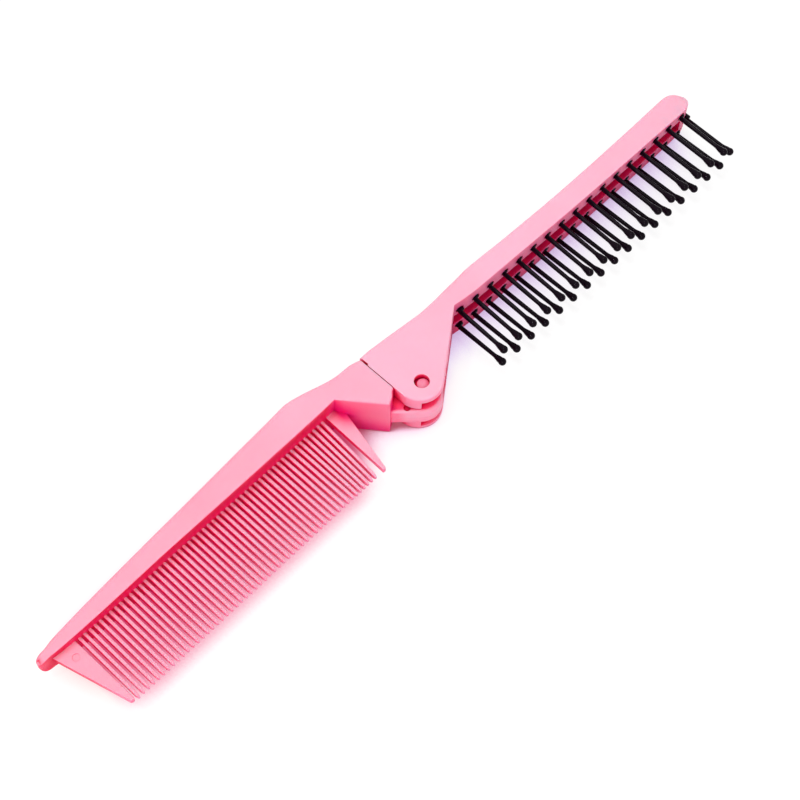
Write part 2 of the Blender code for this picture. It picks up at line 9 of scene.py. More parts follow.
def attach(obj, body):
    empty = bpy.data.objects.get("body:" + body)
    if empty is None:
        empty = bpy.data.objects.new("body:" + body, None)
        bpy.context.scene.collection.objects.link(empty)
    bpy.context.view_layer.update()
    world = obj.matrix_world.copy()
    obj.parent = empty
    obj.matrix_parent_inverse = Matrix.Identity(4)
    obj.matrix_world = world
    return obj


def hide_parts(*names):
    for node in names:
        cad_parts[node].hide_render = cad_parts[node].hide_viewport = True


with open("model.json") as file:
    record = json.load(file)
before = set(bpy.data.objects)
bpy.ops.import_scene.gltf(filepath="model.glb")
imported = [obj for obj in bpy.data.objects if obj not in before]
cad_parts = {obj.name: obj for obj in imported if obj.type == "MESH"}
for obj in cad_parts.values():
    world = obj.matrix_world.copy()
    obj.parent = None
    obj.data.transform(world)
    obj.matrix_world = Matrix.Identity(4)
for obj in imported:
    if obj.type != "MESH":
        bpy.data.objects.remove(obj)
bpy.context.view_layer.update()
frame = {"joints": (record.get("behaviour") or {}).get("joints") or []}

HINGE = Vector(frame["joints"][0]["pos_m"])

# Whole part
COMB_REACH = 0.105
BRUSH_REACH = 0.108
HALF_THICKNESS = 0.007
BACK_HEIGHT = 0.01475
SEAM_SETBACK = 0.0058
SEAM_GAP = 0.0002
SEAM_ROUND_DROP = 0.0005
SEAM_ROUND_LENGTH = 0.0025
OVERRUN = 0.001
EMBED = 0.001

# Comb spine
CREST_RISE = 0.00395
SPINE_WIDTH = 0.0074
BACK_FILLET = 0.0012
FRONT_FILLET = 0.0003
HINGE_FILLET = 0.00075
HINGE_FILLET_RUN = 0.0025
NOSE_LENGTH = 0.003
NOSE_CORNER_SHARE = 0.3
NOSE_BLUNTNESS = 3.2
CREST_SHARES = (
    (0.0, 0.0), (0.067, 0.07), (0.086, 0.13), (0.114, 0.165), (0.133, 0.24), (0.162, 0.44),
    (0.181, 0.6), (0.21, 0.81), (0.238, 0.97), (0.25, 1.0), (0.267, 0.975), (0.295, 0.92),
    (0.39, 0.81), (0.543, 0.645), (0.667, 0.53), (0.829, 0.37), (0.914, 0.28), (0.943, 0.24),
    (0.971, 0.14), (1.0, 0.0),
)
WIDTH_SHARES = (
    (0.0, 0.7), (0.162, 0.74), (0.181, 0.82), (0.21, 0.94), (0.25, 1.04), (0.295, 1.0),
    (0.39, 0.93), (0.543, 0.8), (0.667, 0.7), (0.829, 0.59), (0.943, 0.445), (0.98, 0.31), (1.0, 0.27),
)
COMB_HALF_SHARES = (
    (0.0, 1.0), (0.295, 1.0), (0.571, 0.87), (0.829, 0.69), (0.943, 0.53), (0.98, 0.44), (1.0, 0.4),
)
DRAFT_SHARE = 0.086
BLOCK_DRAFT_SHARE = -0.03

# Comb block beside the hinge
BLOCK_LEFT = 0.0173
BLOCK_FOOT_X = 0.0095
BLOCK_FOOT_Y = 0.00105
BLOCK_SEAM_Y = 0.0034
BLOCK_HEEL_SHARES = ((0.56, 0.48), (0.82, 0.87))

# Comb plate: guards and teeth
PLATE_HALF = 0.0009
PLATE_EDGE = 0.00022
TOOTH_TIP_Y = 0.0072
NOSE_TOOTH_RISE = 0.0005
TOOTH_PITCH = 0.001442
TOOTH_WIDTH = 0.001
TOOTH_TIP_WIDTH = 0.0008
TOOTH_HALF = 0.001
TOOTH_TIP_HALF = 0.0009
FAN_TEETH = 6
FAN_REACH = 0.0014
TOOTH_SHARES = (
    (0.0, 0.0, 1.0, 0.04), (0.055, 0.04, 1.0, 0.1), (0.08, 0.06, 1.0, 0.36), (0.11, 0.08, 1.0, 0.55),
    (0.17, 0.13, 1.0, 0.68), (0.5, 0.4, 1.0, 0.76), (0.94, 0.93, 1.0, 0.78), (0.965, 0.96, 0.92, 0.76),
    (0.985, 0.985, 0.72, 0.7), (1.0, 1.0, 0.4, 0.6),
)
TOOTH_CORNER_SHARES = ((1.0, 0.0), (0.96, 0.45), (0.6, 0.86), (0.0, 1.0))
NOSE_GUARD_SETBACK = 0.0029
NOSE_GUARD_WIDTH = 0.00635
NOSE_GUARD_TIP_Y = 0.0063
NOSE_GUARD_TIP_WIDTH = 0.001
NOSE_GUARD_LEAN = 0.0002
NOSE_GUARD_GAP = 0.00055
HINGE_GUARD_INNER = 0.0198
HINGE_GUARD_WIDTH = 0.0043
HINGE_GUARD_TIP_Y = 0.0073
HINGE_GUARD_TIP_WIDTH = 0.00085
HINGE_GUARD_LEAN = 0.0005
HINGE_GUARD_GAP = 0.0009
HINGE_GUARD_SHOULDER = 0.0013
EJECTOR_RADIUS = 0.0009
EJECTOR_DEPTH = 0.0002
EJECTOR_AT = (-0.0981, 0.0095)

# Hinge
HUB_RADIUS = 0.0052
HUB_SHIFT_X = 0.0006
HUB_SHIFT_Y = 0.0004
SEAM_NOTCH_LENGTH = 0.0028
SEAM_NOTCH_WIDTH = 0.00035
TONGUE_HALF = 0.00266
TONGUE_ROUND = 0.001
TONGUE_GAP = 0.0003
TONGUE_INSET = 0.00005
TONGUE_LINE = 0.00006
BORE_RADIUS = 0.00185
HINGE_PIN_GAP = 0.00007
HINGE_PIN_END_RADIUS = 0.00143
HINGE_PIN_END_AT = (0.0002, -0.0002)
HINGE_PIN_SLOPE = 0.0007
HINGE_PIN_RECESS = 0.0013
HINGE_PIN_CHAMFER = 0.00012
DETENT_RADIUS = 0.00085
DETENT_DEPTH = 0.0008
DETENT_X = 0.00564
DETENT_Y = 0.00077
EAR_RADIUS = 0.00575
EAR_SHIFT_X = 0.0001
EAR_SHIFT_Y = 0.0008
EAR_SKIN = 0.00145
BOSS_RADIUS = 0.0036
SWING_GAP = 0.00035
POCKET_STEP = 0.0004
POCKET_START_SHARE = 0.62

# Brush body
NECK_CORNER_X = 0.0202
NECK_CORNER_Y = 0.0084
FACE_DROP = 0.00235
TIP_LENGTH = 0.0055
TIP_CORNER_SHARE = 0.6
TIP_BLUNTNESS = 2.0
BRUSH_BACK_DROP = 0.0023
BRUSH_BACK_SHARES = (
    (-0.051, 0.0), (-0.028, 0.0), (0.0, 0.11), (0.028, 0.24), (0.056, 0.39), (0.102, 0.63), (0.13, 0.74),
    (0.157, 0.74), (0.213, 0.63), (0.241, 0.58), (0.278, 0.48), (0.315, 0.54), (0.389, 0.72), (0.463, 0.83),
    (0.537, 0.93), (0.685, 1.0), (0.833, 0.96), (0.917, 0.87), (0.949, 0.83), (1.0, 0.9),
)
FACE_SHARES = (
    (0.187, 0.0), (0.218, 0.19), (0.255, 0.34), (0.389, 0.53), (0.556, 0.745), (0.694, 0.87),
    (0.833, 0.96), (0.954, 1.0), (1.0, 1.0),
)
BRUSH_HALF_SHARES = (
    (0.0, 1.0), (0.187, 1.0), (0.315, 0.965), (0.583, 0.85), (0.87, 0.765), (0.944, 0.715), (1.0, 0.66),
)
GROOVE_HALF = 0.00195
GROOVE_DEPTH = 0.0016
GROOVE_END = 0.0054

# Ball pins
PIN_START = 0.02148
PIN_ROW_END = 0.00596
PIN_PAIRS = 17
END_PIN_SETBACK = 0.0028
PIN_ROW_HALF = 0.00345
PIN_TIP_ROW_HALF = 0.0029
PIN_LENGTH = 0.0144
PIN_BALL_RADIUS = 0.001
PIN_DROP_LENGTH = 0.0027
PIN_STEM_RADIUS = 0.0006
PIN_NECK_RADIUS = 0.00052
SHOULDER_SHARE = 0.51
FOOT_HALF_WIDTH = 0.00062
FOOT_HALF_LENGTH = 0.00098
FOOT_OFFSET = 0.00048
FOOT_DEPTH = 0.002
FOOT_GAP = 0.00025
FOOT_RISE = 0.0005
FOOT_EDGE_SHARE = 0.3

# Mesh fineness
STEP = 0.0007
CORNER_STEPS = 6
END_STEPS = 10
ROUND_SIDES = 64
MARK_SIDES = 32
SOCKET_SIDES = 24
PIN_SIDES = 20
FOOT_STEPS = 6
STEM_STEPS = 4
SHOULDER_STEPS = 5
BALL_STEPS = 11
BALL_END_SHARE = 0.97
RIGHT_ANGLE = math.pi / 2.0
SHARP_ANGLE = math.radians(32)
FILLET_LIMIT_SHARE = 0.45
CORNER_LIMIT_SHARE = 0.45
PLATE_EDGE_SHARE = 0.3

# Photograph's camera
LENS = 77.58
CAMERA_TARGET = (-0.002993, 0.0006725, -0.000079)
CAMERA_AZIMUTH = -47.374
CAMERA_ELEVATION = 61.867
CAMERA_ROLL = 0.996
CAMERA_DISTANCE = 0.40917

# Colours, each at the openness where it is met. The sides' ramps are painted shade, deepest and reddest in
# creases; the floor's ramps are painted shadow.
NOSE_WALL_SHADE = ((0.0, (0.7, 0.0, 0.05)), (0.85, (0.76, 0.0, 0.06)), (1.0, (0.88, 0.07, 0.15)))
COMB_WALL_SHADE = (
    (0.0, (0.85, 0.005, 0.1)), (0.4, (0.98, 0.02, 0.15)), (0.7, (0.76, 0.0, 0.075)),
    (0.84, (0.68, 0.0, 0.05)), (0.93, (0.9, 0.03, 0.12)), (1.0, (0.98, 0.2, 0.33)),
)
COMB_BLOCK_SHADE = (
    (0.0, (0.6, 0.0, 0.09)), (0.55, (0.8, 0.0, 0.15)), (0.7, (0.92, 0.03, 0.2)),
    (0.8, (0.98, 0.11, 0.25)), (1.0, (0.985, 0.19, 0.32)),
)
COMB_TONGUE_SHADE = (
    (0.0, (0.5, 0.0, 0.02)), (0.3, (0.88, 0.004, 0.08)), (0.6, (0.95, 0.08, 0.22)),
    (0.85, (0.97, 0.22, 0.36)), (1.0, (0.985, 0.34, 0.48)),
)
EAR_SIDE_SHADE = (
    (0.0, (0.5, 0.0, 0.03)), (0.38, (0.88, 0.008, 0.1)), (0.48, (1.0, 0.22, 0.36)),
    (1.0, (0.985, 0.27, 0.41)),
)
BRUSH_SIDE_SHADE = (
    (0.0, (0.4, 0.0, 0.035)), (0.4, (0.6, 0.0, 0.07)), (0.6, (0.76, 0.03, 0.16)),
    (0.8, (0.85, 0.12, 0.28)), (1.0, (0.98, 0.26, 0.4)),
)
# Painted shade on the teeth's sides toward their tips, lighter than at their roots
TOOTH_TIP_SHADE = (0.92, 0.2, 0.35)
COMB_TOP = ((0.91, 0.345, 0.455), (0.93, 0.38, 0.495))
BLOCK_TOP = ((0.93, 0.395, 0.515), (0.945, 0.43, 0.555))
BRUSH_TOP = ((0.945, 0.435, 0.56), (0.96, 0.47, 0.6))
COMB_SHADOW = (
    (0.0, (0.62, 0.0, 0.1)), (0.33, (0.74, 0.03, 0.16)), (0.45, (0.86, 0.2, 0.36)),
    (0.58, (0.97, 0.42, 0.56)), (0.68, (1.0, 0.84, 0.91)), (0.76, (1.0, 1.0, 1.0)),
)
BRUSH_SHADOW = (
    (0.0, (0.35, 0.08, 0.3)), (0.35, (0.7, 0.52, 0.86)), (0.44, (0.84, 0.75, 1.0)),
    (0.54, (0.96, 0.92, 1.0)), (0.62, (1.0, 1.0, 1.0)),
)
HINGE_SHADOW = (
    (0.0, (0.28, 0.0, 0.02)), (0.36, (0.42, 0.01, 0.08)), (0.43, (0.85, 0.42, 0.62)),
    (0.5, (1.0, 0.76, 0.92)), (0.58, (1.0, 0.92, 0.99)), (0.66, (1.0, 1.0, 1.0)),
)
NOSE_SHADOW = (
    (0.0, (0.6, 0.1, 0.15)), (0.4, (0.93, 0.62, 0.64)), (0.52, (1.0, 0.85, 0.85)),
    (0.66, (1.0, 0.96, 0.93)), (0.74, (1.0, 1.0, 1.0)),
)
PIN_BLACKS = ((0.003, 0.0005, 0.003), (0.006, 0.0015, 0.006))
FLOOR_WHITE = (0.88, 0.88, 0.88)
FLOOR_SHADE = (0.24, 0.24, 0.24)
# Glow of the floor for camera rays, which also carries its painted shadow tint
FLOOR_GLOW = 0.8
WORLD_LIGHT = 0.7

# Zones along world X at rest. Each begins to replace the one before it at its first place, and has done
# so at its second. A plastic zone has its face colours, its sides' ramp of painted shade, the openness
# between which and which faces take their own colour and not the painted shade, and for teeth the painted
# shade toward their tips. A floor zone has its ramp of painted shadow.
SPINE_GATE = (0.14, 0.34)
BLOCK_GATE = (0.5, 0.85)
TONGUE_GATE = (0.55, 0.95)
BRUSH_GATE = (0.5, 0.9)
# Span along Y over which the teeth's sides take the painted shade of their tips
TOOTH_TIP_SHADE_SPAN = (-0.001, -0.011)
COMB_FIRST = (COMB_TOP, NOSE_WALL_SHADE, SPINE_GATE)
COMB_ZONES = (
    (-0.1005, -0.0990, (COMB_TOP, COMB_WALL_SHADE, SPINE_GATE, TOOTH_TIP_SHADE)),
    (-0.045, -0.028, (BLOCK_TOP, COMB_WALL_SHADE, SPINE_GATE, TOOTH_TIP_SHADE)),
    (-0.0215, -0.0185, (BLOCK_TOP, COMB_BLOCK_SHADE, BLOCK_GATE)),
    (-0.0096, -0.0082, (BLOCK_TOP, COMB_TONGUE_SHADE, TONGUE_GATE)),
)
BRUSH_FIRST = (BRUSH_TOP, EAR_SIDE_SHADE, BRUSH_GATE)
BRUSH_ZONES = ((0.006, 0.009, (BRUSH_TOP, BRUSH_SIDE_SHADE, BRUSH_GATE)),)
FLOOR_ZONES = ((-0.1, -0.097, COMB_SHADOW), (-0.024, -0.014, HINGE_SHADOW), (0.002, 0.012, BRUSH_SHADOW))

# Surfaces
# Reach and samples of the openness that the painted shade on the sides and the painted shadow on the floor
# follow
AO_REACH = 0.008
AO_SAMPLES = 12
FLOOR_AO_REACH = 0.012
FLOOR_AO_SAMPLES = 16
NOISE_SPAN = (0.3, 0.7)
# How far a face must point up or down to keep its own colour and not the sides' painted shade
UPRIGHT_SPAN = (0.3, 0.95)
CLOUD_SCALE = 55.0
GRAIN_SCALE = 2600.0
PINK_ROUGHNESS = (0.36, 0.46)
PINK_SPECULAR = 0.16
SUBSURFACE_SHARE = 0.6
SUBSURFACE_RADIUS = (1.0, 0.2, 0.25)
SUBSURFACE_SCALE = 0.0025
BEVEL_RADIUS = 0.00018
BEVEL_SAMPLES = 4
BUMP_STRENGTH = 0.12
BUMP_DISTANCE = 0.00003
PIN_CLOUD_SCALE = 900.0
PIN_SHEEN_SCALE = 400.0
PIN_ROUGHNESS = (0.11, 0.13)
PIN_SPECULAR = 0.07

# Lamps: name, place, size and power. All face the middle of the part.
LAMPS = (
    ("key", (0.05, 0.2, 0.9), 0.4, 1.9),
    ("fill", (-0.45, -0.42, 0.5), 0.4, 1.7),
    ("glint", (-0.3, 0.1, 0.7), 0.03, 0.7),
)


def curve(table):
    """Smooth curve through a table's points that never passes their highest or lowest."""
    xs = [x for x, _ in table]
    ys = [y for _, y in table]
    steps = [b - a for a, b in zip(xs, xs[1:])]
    slopes = [(b - a) / h for a, b, h in zip(ys, ys[1:], steps)]
    bends = [slopes[0]]
    for h0, h1, s0, s1 in zip(steps, steps[1:], slopes, slopes[1:]):
        if s0 * s1 <= 0:
            bends.append(0.0)
        else:
            w0, w1 = h0 + 2 * h1, 2 * h0 + h1
            bends.append((w0 + w1) / (w1 / s0 + w0 / s1))
    bends.append(slopes[-1])

    def value(x):
        if x <= xs[0]:
            return ys[0]
        if x >= xs[-1]:
            return ys[-1]
        i = max(k for k, start in enumerate(xs[:-1]) if start <= x)
        h = steps[i]
        t = (x - xs[i]) / h
        u = 1 - t
        return (
            ys[i] * (1 + 2 * t) * u * u + ys[i + 1] * (3 - 2 * t) * t * t
            + bends[i] * h * t * u * u - bends[i + 1] * h * t * t * u
        )

    return value


crest = curve(CREST_SHARES)
width = curve(WIDTH_SHARES)
comb_thinning = curve(COMB_HALF_SHARES)
back_drop = curve(BRUSH_BACK_SHARES)
face_drop = curve(FACE_SHARES)
brush_thinning = curve(BRUSH_HALF_SHARES)


def comb_back(x):
    near = max(1 + (x + SEAM_SETBACK) / SEAM_ROUND_LENGTH, 0.0)
    return BACK_HEIGHT + CREST_RISE * crest(-x / COMB_REACH) - SEAM_ROUND_DROP * near * near


def comb_half_thickness(x):
    return HALF_THICKNESS * comb_thinning(-x / COMB_REACH)


def comb_wall(x):
    return comb_back(x) - SPINE_WIDTH * width(-x / COMB_REACH)


def brush_back(x):
    return BACK_HEIGHT - BRUSH_BACK_DROP * back_drop(x / BRUSH_REACH)


def brush_half_thickness(x):
    return HALF_THICKNESS * brush_thinning(x / BRUSH_REACH)


def face_height(x):
    return NECK_CORNER_Y - FACE_DROP * face_drop(x / BRUSH_REACH)


def hinge_fillet(share):
    """Front fillet between the plain one and the fuller one beside the hinge."""
    return FRONT_FILLET + (HINGE_FILLET - FRONT_FILLET) * share


def spaced(start, end):
    """Evenly spaced places from start to end."""
    count = max(round(abs(end - start) / STEP), 1)
    return [start + (end - start) * i / count for i in range(count + 1)]


def inward_normals(chain, side):
    """Mitred normal at each point of a chain, into the body: side is 1 where the body lies above it."""
    normals = []
    for i, point in enumerate(chain):
        before = chain[i - 1] if i else point
        after = chain[i + 1] if i + 1 < len(chain) else point
        units = []
        for a, b in ((before, point), (point, after)):
            edge = Vector(b) - Vector(a)
            if edge.length > 1e-9:
                edge.normalize()
                units.append(Vector((-edge.y, edge.x)) * side)
        total = units[0] + units[-1]
        total.normalize()
        normals.append(total / max(total.dot(units[0]), 0.5))
    return normals


def add_body(bm, stations):
    """Closed body through stations.

    Each is a front point, a back point, half thickness, front and back fillets and draft.
    """
    fronts = inward_normals([s[0] for s in stations], 1)
    backs = inward_normals([s[1] for s in stations], -1)
    down, up = Vector((0.0, -1.0)), Vector((0.0, 1.0))
    fronts[0] = fronts[-1] = up
    backs[0] = backs[-1] = down
    rings = []
    for station, front_in, back_in in zip(stations, fronts, backs):
        front, back, half, front_fillet, back_fillet, draft = station
        front, back = Vector(front), Vector(back)
        limit = FILLET_LIMIT_SHARE * min((back - front).length, half + half)
        front_fillet = min(front_fillet, limit)
        back_fillet = min(back_fillet, limit)
        upper = []
        for i in range(CORNER_STEPS + 1):
            turn = RIGHT_ANGLE * i / CORNER_STEPS
            point = front + front_in * front_fillet * (1 - math.cos(turn))
            upper.append((point.x, point.y, half - front_fillet * (1 - math.sin(turn))))
        for i in range(CORNER_STEPS + 1):
            turn = RIGHT_ANGLE * (1 - i / CORNER_STEPS)
            point = back + back_in * back_fillet * (1 - math.cos(turn))
            upper.append((point.x, point.y, half - back_fillet * (1 - math.sin(turn))))
        waist = front + front_in * draft
        ring = [(waist.x, waist.y, 0.0)] + upper
        ring += [(x, y, -z) for x, y, z in reversed(upper)]
        rings.append(ring)
    add_loft(bm, rings)


def add_loft(bm, rings):
    rows = [[bm.verts.new(point) for point in ring] for ring in rings]
    for low, high in zip(rows, rows[1:]):
        for i in range(len(low)):
            j = (i + 1) % len(low)
            bm.faces.new((low[i], low[j], high[j], high[i]))
    bm.faces.new(reversed(rows[0]))
    bm.faces.new(rows[-1])


def add_prism(bm, outline, low, high):
    add_loft(bm, [[(x, y, z) for x, y in outline] for z in (low, high)])


def solid(name, bm):
    bmesh.ops.recalc_face_normals(bm, faces=bm.faces)
    mesh = bpy.data.meshes.new(name)
    bm.to_mesh(mesh)
    bm.free()
    item = bpy.data.objects.new(name, mesh)
    bpy.context.scene.collection.objects.link(item)
    return item


def combine(item, other, operation):
    """Join or cut, and drop the other shape."""
    step = item.modifiers.new(other.name, "BOOLEAN")
    step.object = other
    step.operation = operation
    step.solver = "EXACT"
    bake(item)
    bpy.data.objects.remove(other, do_unlink=True)


def bake(item):
    """Keep the modified mesh and drop the modifiers."""
    bpy.context.view_layer.update()
    seen = item.evaluated_get(bpy.context.evaluated_depsgraph_get())
    mesh = bpy.data.meshes.new_from_object(seen)
    item.modifiers.clear()
    item.data = mesh


def polish(item):
    """Smooth shading in which flat faces stay flat."""
    item.data.shade_smooth()
    item.data.set_sharp_from_angle(angle=SHARP_ANGLE)
    step = item.modifiers.new("normals", "WEIGHTED_NORMAL")
    step.keep_sharp = True
    bake(item)


def place(item, node, body, material):
    """Set a piece at the hinge, in its node's place."""
    item.data.transform(Matrix.Translation(HINGE))
    item.data.materials.clear()
    item.data.materials.append(material)
    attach(item, body)
    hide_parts(node)


def circle(radius, sides, x=0.0, y=0.0):
    turns = [2 * math.pi * i / sides for i in range(sides)]
    return [(x + radius * math.cos(turn), y + radius * math.sin(turn)) for turn in turns]


def end_stations(x, direction, length, section, fillets, draft_share, corner_share, bluntness):
    """Stations of a rounded end, outward from its root, where section is front, back and half thickness."""
    front, back, half = section
    middle = (front + back) / 2
    stations = []
    for i in range(1, END_STEPS + 1):
        turn = RIGHT_ANGLE * i / (END_STEPS + 0.5)
        reach = (back - front) / 2 * (1 - math.sin(turn) ** bluntness) ** (1 / bluntness)
        end_half = half * (corner_share + (1 - corner_share) * math.cos(turn))
        at = x + direction * length * math.sin(turn)
        if i == END_STEPS:
            at = x + direction * length
        stations.append(((at, middle - reach), (at, middle + reach), end_half, *fillets, draft_share * reach))
    return stations


def comb_spine():
    fillets = (FRONT_FILLET, BACK_FILLET)
    nose = NOSE_LENGTH - COMB_REACH
    section = (comb_wall(nose), comb_back(nose), comb_half_thickness(nose))
    stations = end_stations(
        nose, -1, NOSE_LENGTH, section, fillets, DRAFT_SHARE, NOSE_CORNER_SHARE, NOSE_BLUNTNESS,
    )[::-1]
    for x in spaced(nose, -BLOCK_LEFT):
        half = comb_half_thickness(x)
        stations.append(((x, comb_wall(x)), (x, comb_back(x)), half, *fillets, DRAFT_SHARE * half))
    heel = [(-BLOCK_LEFT, comb_wall(-BLOCK_LEFT)), (-BLOCK_FOOT_X, BLOCK_FOOT_Y)]
    for along, up in BLOCK_HEEL_SHARES:
        x = -BLOCK_FOOT_X + along * (BLOCK_FOOT_X - SEAM_SETBACK)
        heel.append((x, BLOCK_FOOT_Y + up * (BLOCK_SEAM_Y - BLOCK_FOOT_Y)))
    heel.append((-SEAM_SETBACK, BLOCK_SEAM_Y))
    for (x0, y0), (x1, y1) in zip(heel, heel[1:]):
        for x in spaced(x0, x1)[1:]:
            y = y0 + (y1 - y0) * (x - x0) / (x1 - x0)
            half = comb_half_thickness(x)
            front_fillet = hinge_fillet(min((x + BLOCK_LEFT) / HINGE_FILLET_RUN, 1))
            draft = BLOCK_DRAFT_SHARE * half
            stations.append(((x, y), (x, comb_back(x)), half, front_fillet, BACK_FILLET, draft))
    bm = bmesh.new()
    add_body(bm, stations)
    return solid("comb_spine", bm)


def root_height(x):
    return comb_wall(x) + DRAFT_SHARE * comb_half_thickness(x) + EMBED


def add_tooth(bm, x, tip_y, lean):
    """Tapering tooth whose flat ridge begins as a point at the spine and whose tip is round."""
    root = root_height(x)
    rings = []
    for along, taper, size, ridge_share in TOOTH_SHARES:
        y = root + (tip_y - root) * along
        middle_x = x - lean * along
        side = (TOOTH_WIDTH + (TOOTH_TIP_WIDTH - TOOTH_WIDTH) * taper) * size / 2
        half = (TOOTH_HALF + (TOOTH_TIP_HALF - TOOTH_HALF) * taper) * size
        ridge = side * ridge_share
        upper = [(side * out + ridge * (1 - out), half * up) for out, up in TOOTH_CORNER_SHARES]
        upper += [(-across, z) for across, z in reversed(upper[1:])]
        outline = upper + [(-across, -z) for across, z in upper]
        rings.append([(middle_x + across, y, z) for across, z in outline])
    add_loft(bm, rings)


def nose_guard():
    outer = NOSE_GUARD_SETBACK - COMB_REACH
    inner = outer + NOSE_GUARD_WIDTH
    tip_inner = inner + NOSE_GUARD_LEAN
    outline = [
        (outer, root_height(outer)),
        (tip_inner - NOSE_GUARD_TIP_WIDTH, -NOSE_GUARD_TIP_Y),
        (tip_inner, -NOSE_GUARD_TIP_Y),
        (inner, root_height(inner)),
    ]
    return outline, inner


def hinge_guard():
    inner = -HINGE_GUARD_INNER
    tip_inner = inner - HINGE_GUARD_LEAN
    outer = inner + HINGE_GUARD_WIDTH
    shoulder = comb_wall(-BLOCK_LEFT) - HINGE_GUARD_SHOULDER
    outline = [
        (inner, root_height(inner)),
        (tip_inner, -HINGE_GUARD_TIP_Y),
        (tip_inner + HINGE_GUARD_TIP_WIDTH, -HINGE_GUARD_TIP_Y),
        (outer, shoulder),
        (outer, shoulder + EMBED),
        (-BLOCK_LEFT, root_height(-BLOCK_LEFT)),
    ]
    return outline, inner


def rounded(outline, radius, steps=5):
    """Outline with each corner drawn as an arc, less where its edges are short."""
    points = []
    for i, corner in enumerate(outline):
        corner = Vector(corner)
        before = Vector(outline[i - 1]) - corner
        after = Vector(outline[(i + 1) % len(outline)]) - corner
        reach = min(radius, before.length * CORNER_LIMIT_SHARE, after.length * CORNER_LIMIT_SHARE)
        start = corner + before.normalized() * reach
        end = corner + after.normalized() * reach
        for k in range(steps + 1):
            t = k / steps
            points.append(tuple(start * (1 - t) ** 2 + corner * 2 * t * (1 - t) + end * t * t))
    return points


def inset(outline, by):
    """Outline drawn inward by a distance. It runs anticlockwise."""
    points = []
    for i, point in enumerate(outline):
        point = Vector(point)
        before = (point - Vector(outline[i - 1])).normalized()
        after = (Vector(outline[(i + 1) % len(outline)]) - point).normalized()
        normal = Vector((-before.y - after.y, before.x + after.x)).normalized()
        lift = max(normal.dot(Vector((-before.y, before.x))), 0.4)
        points.append(tuple(point + normal * by / lift))
    return points


def add_plate(bm, outline, half, edge):
    """Flat plate with softened edges."""
    outline = rounded(outline, HINGE_GUARD_TIP_WIDTH)
    step = edge * PLATE_EDGE_SHARE
    levels = [(half, edge), (half - step, step), (half - edge, 0.0)]
    rings = [[(x, y, -z) for x, y in inset(outline, by)] for z, by in levels]
    rings += [[(x, y, z) for x, y in inset(outline, by)] for z, by in reversed(levels)]
    add_loft(bm, rings)


def comb_plate():
    bm = bmesh.new()
    left, left_edge = nose_guard()
    right, right_edge = hinge_guard()
    add_plate(bm, left, PLATE_HALF, PLATE_EDGE)
    add_plate(bm, right, PLATE_HALF, PLATE_EDGE)
    first = left_edge + NOSE_GUARD_GAP + TOOTH_WIDTH / 2
    last = right_edge - HINGE_GUARD_GAP - TOOTH_WIDTH / 2
    steps = round((last - first) / TOOTH_PITCH)
    for i in range(steps + 1):
        tip_y = NOSE_TOOTH_RISE * (1 - i / steps) - TOOTH_TIP_Y
        lean = FAN_REACH * max(1 - (steps - i) / FAN_TEETH, 0.0)
        add_tooth(bm, first + (last - first) * i / steps, tip_y, lean)
    return solid("comb_plate", bm)


def neck_edge():
    """Start of the tongue's lower edge in the block's foot, and that edge's angle below -X."""
    x = TONGUE_INSET - BLOCK_FOOT_X
    y = BLOCK_FOOT_Y + TONGUE_INSET
    dx = -HUB_SHIFT_X - x
    dy = -HUB_SHIFT_Y - y
    return x, y, math.asin(HUB_RADIUS / math.hypot(dx, dy)) - math.atan2(dy, dx)


def tongue_outline(by):
    x, y, angle = neck_edge()
    radius = HUB_RADIUS - by
    across = Vector((math.sin(angle), math.cos(angle)))
    back_up = Vector((-math.cos(angle), math.sin(angle)))
    start = Vector((x, y)) + across * by + back_up * (EMBED + TONGUE_INSET)
    outline = [tuple(start)]
    for i in range(ROUND_SIDES + 1):
        at = -RIGHT_ANGLE - angle + (2 * RIGHT_ANGLE + angle) * i / ROUND_SIDES
        outline.append((radius * math.cos(at) - HUB_SHIFT_X, radius * math.sin(at) - HUB_SHIFT_Y))
    outline.append((start.x, radius - HUB_SHIFT_Y))
    return outline


def tongue():
    """Hinge tongue with rounded edges and a fine parting line."""
    levels = []
    for i in range(CORNER_STEPS + 1):
        turn = RIGHT_ANGLE * i / CORNER_STEPS
        by = TONGUE_ROUND * (1 - math.sin(turn))
        levels.append((TONGUE_HALF - TONGUE_ROUND + TONGUE_ROUND * math.cos(turn), by))
    levels += [(TONGUE_LINE, 0.0), (0.0, TONGUE_LINE)]
    rings = [[(x, y, -z) for x, y in tongue_outline(by)] for z, by in levels]
    rings += [[(x, y, z) for x, y in tongue_outline(by)] for z, by in reversed(levels[:-1])]
    bm = bmesh.new()
    add_loft(bm, rings)
    return solid("tongue", bm)


def add_bore(bm):
    reach = HALF_THICKNESS + OVERRUN
    add_prism(bm, circle(BORE_RADIUS, ROUND_SIDES), -reach, reach)


def bore():
    bm = bmesh.new()
    add_bore(bm)
    return solid("bore", bm)


def comb_marks():
    """Bore, the tongue's dimple, and the shallow round mark that an ejector left on the nose guard."""
    bm = bmesh.new()
    add_bore(bm)
    dimple = circle(DETENT_RADIUS, MARK_SIDES, -DETENT_X, -DETENT_Y)
    add_prism(bm, dimple, TONGUE_HALF - DETENT_DEPTH, TONGUE_HALF + OVERRUN)
    mark = circle(EJECTOR_RADIUS, MARK_SIDES, *EJECTOR_AT)
    add_prism(bm, mark, PLATE_HALF - EJECTOR_DEPTH, PLATE_HALF + OVERRUN)
    return solid("comb_marks", bm)


def ear_tangent():
    """Point where the neck's straight edge leaves the ear circle, and that edge's angle."""
    dx = NECK_CORNER_X - EAR_SHIFT_X
    dy = NECK_CORNER_Y - EAR_SHIFT_Y
    angle = math.atan2(dy, dx) + math.asin(EAR_RADIUS / math.hypot(dx, dy))
    x = EAR_SHIFT_X + EAR_RADIUS * math.sin(angle)
    return x, EAR_SHIFT_Y - EAR_RADIUS * math.cos(angle), angle


